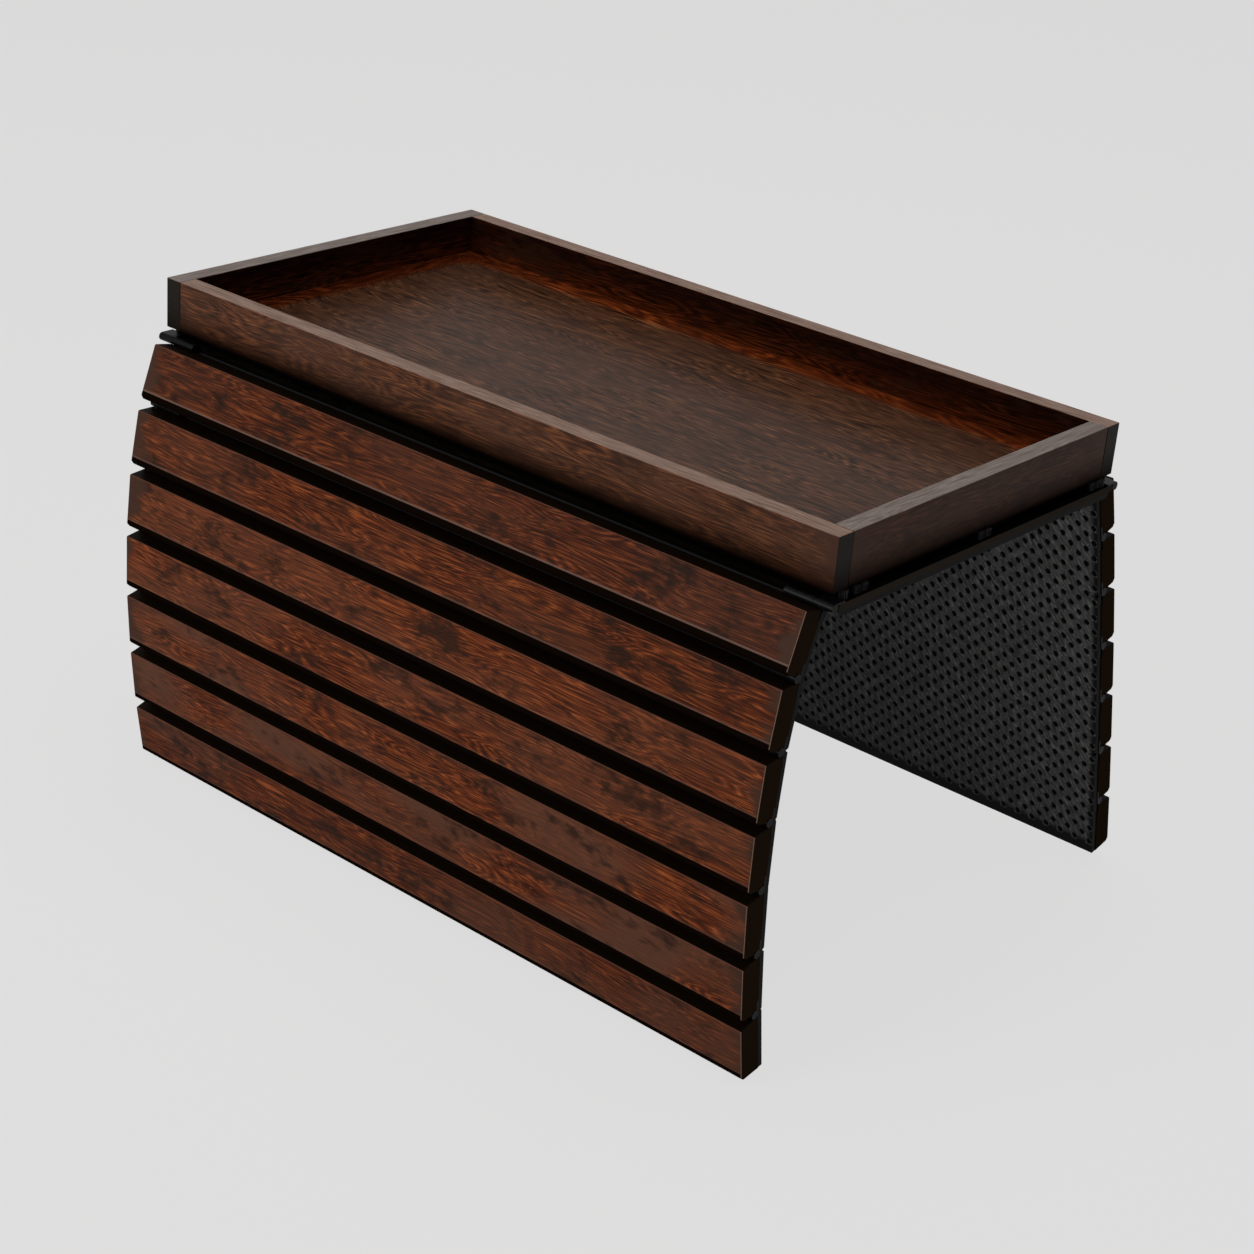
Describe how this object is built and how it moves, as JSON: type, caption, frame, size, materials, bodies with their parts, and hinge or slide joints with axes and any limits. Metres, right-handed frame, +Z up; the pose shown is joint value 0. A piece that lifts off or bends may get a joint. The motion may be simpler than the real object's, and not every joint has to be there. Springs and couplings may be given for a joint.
{
  "type": "sofa arm tray",
  "caption": "Wooden tray that sits on a sofa arm, framed by low rails, with a hinged slatted wing backed by a non-slip mat hanging down each side.",
  "frame": {"origin": "middle of the base mat's underside, the face that lies on the sofa arm", "axes": "+X along the tray and the sofa arm, +Y across the arm, +Z up"},
  "size_m": [0.506, 0.3755, 0.3067],
  "materials": {
    "stained_wood": "dark walnut stain, satin lacquer",
    "dowel_wood": "bare beech, hidden in the corners",
    "grip_mat": "charcoal foam rubber with round dimples",
    "bumper_rubber": "matt black",
    "black_steel": "black coated steel, satin",
    "screw_steel": "zinc plated"
  },
  "bodies": {
    "tray": {"front_rail": "stained_wood", "back_rail": "stained_wood", "left_rail": "stained_wood", "right_rail": "stained_wood", "corner_dowels": "dowel_wood", "tray_floor": "stained_wood", "tray_liner": "stained_wood", "frame_screws": "screw_steel", "tray_screws": "screw_steel", "base_board": "stained_wood", "base_mat": "grip_mat", "tray_bumpers": "bumper_rubber", "tray_standoffs": "black_steel", "front_board_hinges": "black_steel", "back_board_hinges": "black_steel"},
    "front_wing_1": {"front_slat_1": "stained_wood", "front_mat_1": "grip_mat", "front_hinges_1": "black_steel"},
    "front_wing_2": {"front_slat_2": "stained_wood", "front_mat_2": "grip_mat", "front_hinges_2": "black_steel"},
    "front_wing_3": {"front_slat_3": "stained_wood", "front_mat_3": "grip_mat", "front_hinges_3": "black_steel"},
    "front_wing_4": {"front_slat_4": "stained_wood", "front_mat_4": "grip_mat", "front_hinges_4": "black_steel"},
    "front_wing_5": {"front_slat_5": "stained_wood", "front_mat_5": "grip_mat", "front_hinges_5": "black_steel"},
    "front_wing_6": {"front_slat_6": "stained_wood", "front_mat_6": "grip_mat", "front_hinges_6": "black_steel"},
    "front_wing_7": {"front_slat_7": "stained_wood", "front_mat_7": "grip_mat", "front_hinges_7": "black_steel"},
    "back_wing_1": {"back_slat_1": "stained_wood", "back_mat_1": "grip_mat", "back_hinges_1": "black_steel"},
    "back_wing_2": {"back_slat_2": "stained_wood", "back_mat_2": "grip_mat", "back_hinges_2": "black_steel"},
    "back_wing_3": {"back_slat_3": "stained_wood", "back_mat_3": "grip_mat", "back_hinges_3": "black_steel"},
    "back_wing_4": {"back_slat_4": "stained_wood", "back_mat_4": "grip_mat", "back_hinges_4": "black_steel"},
    "back_wing_5": {"back_slat_5": "stained_wood", "back_mat_5": "grip_mat", "back_hinges_5": "black_steel"},
    "back_wing_6": {"back_slat_6": "stained_wood", "back_mat_6": "grip_mat", "back_hinges_6": "black_steel"},
    "back_wing_7": {"back_slat_7": "stained_wood", "back_mat_7": "grip_mat", "back_hinges_7": "black_steel"}
  },
  "joints": [
    {"name": "front_hinge_1", "type": "hinge", "parent": "tray", "child": "front_wing_1", "pos_m": [0, -0.13, 0.006], "axis": [1, 0, 0], "range_deg": [-70.5, 15.5]},
    {"name": "front_hinge_2", "type": "hinge", "parent": "front_wing_1", "child": "front_wing_2", "pos_m": [0, -0.14302, -0.03076], "axis": [1, 0, 0], "range_deg": [-9.5, 0.5]},
    {"name": "front_hinge_3", "type": "hinge", "parent": "front_wing_2", "child": "front_wing_3", "pos_m": [0, -0.14979, -0.06917], "axis": [1, 0, 0], "range_deg": [-5.5, 4.5]},
    {"name": "front_hinge_4", "type": "hinge", "parent": "front_wing_3", "child": "front_wing_4", "pos_m": [0, -0.15285, -0.10805], "axis": [1, 0, 0], "range_deg": [-4, 6]},
    {"name": "front_hinge_5", "type": "hinge", "parent": "front_wing_4", "child": "front_wing_5", "pos_m": [0, -0.15319, -0.14705], "axis": [1, 0, 0], "range_deg": [-4, 6]},
    {"name": "front_hinge_6", "type": "hinge", "parent": "front_wing_5", "child": "front_wing_6", "pos_m": [0, -0.15081, -0.18598], "axis": [1, 0, 0], "range_deg": [-2.5, 7.5]},
    {"name": "front_hinge_7", "type": "hinge", "parent": "front_wing_6", "child": "front_wing_7", "pos_m": [0, -0.14673, -0.22476], "axis": [1, 0, 0], "range_deg": [-3, 7]},
    {"name": "back_hinge_1", "type": "hinge", "parent": "tray", "child": "back_wing_1", "pos_m": [0, 0.13, 0.006], "axis": [-1, 0, 0], "range_deg": [-72, 14]},
    {"name": "back_hinge_2", "type": "hinge", "parent": "back_wing_1", "child": "back_wing_2", "pos_m": [0, 0.14205, -0.03109], "axis": [-1, 0, 0], "range_deg": [-1.5, 8.5]},
    {"name": "back_hinge_3", "type": "hinge", "parent": "back_wing_2", "child": "back_wing_3", "pos_m": [0, 0.15313, -0.06849], "axis": [-1, 0, 0], "range_deg": [-1, 9]},
    {"name": "back_hinge_4", "type": "hinge", "parent": "back_wing_3", "child": "back_wing_4", "pos_m": [0, 0.16355, -0.10607], "axis": [-1, 0, 0], "range_deg": [-1, 9]},
    {"name": "back_hinge_5", "type": "hinge", "parent": "back_wing_4", "child": "back_wing_5", "pos_m": [0, 0.17331, -0.14383], "axis": [-1, 0, 0], "range_deg": [-0.5, 9.5]},
    {"name": "back_hinge_6", "type": "hinge", "parent": "back_wing_5", "child": "back_wing_6", "pos_m": [0, 0.18275, -0.18167], "axis": [-1, 0, 0], "range_deg": [-0.5, 9.5]},
    {"name": "back_hinge_7", "type": "hinge", "parent": "back_wing_6", "child": "back_wing_7", "pos_m": [0, 0.19185, -0.21959], "axis": [-1, 0, 0], "range_deg": [-1, 9]}
  ]
}
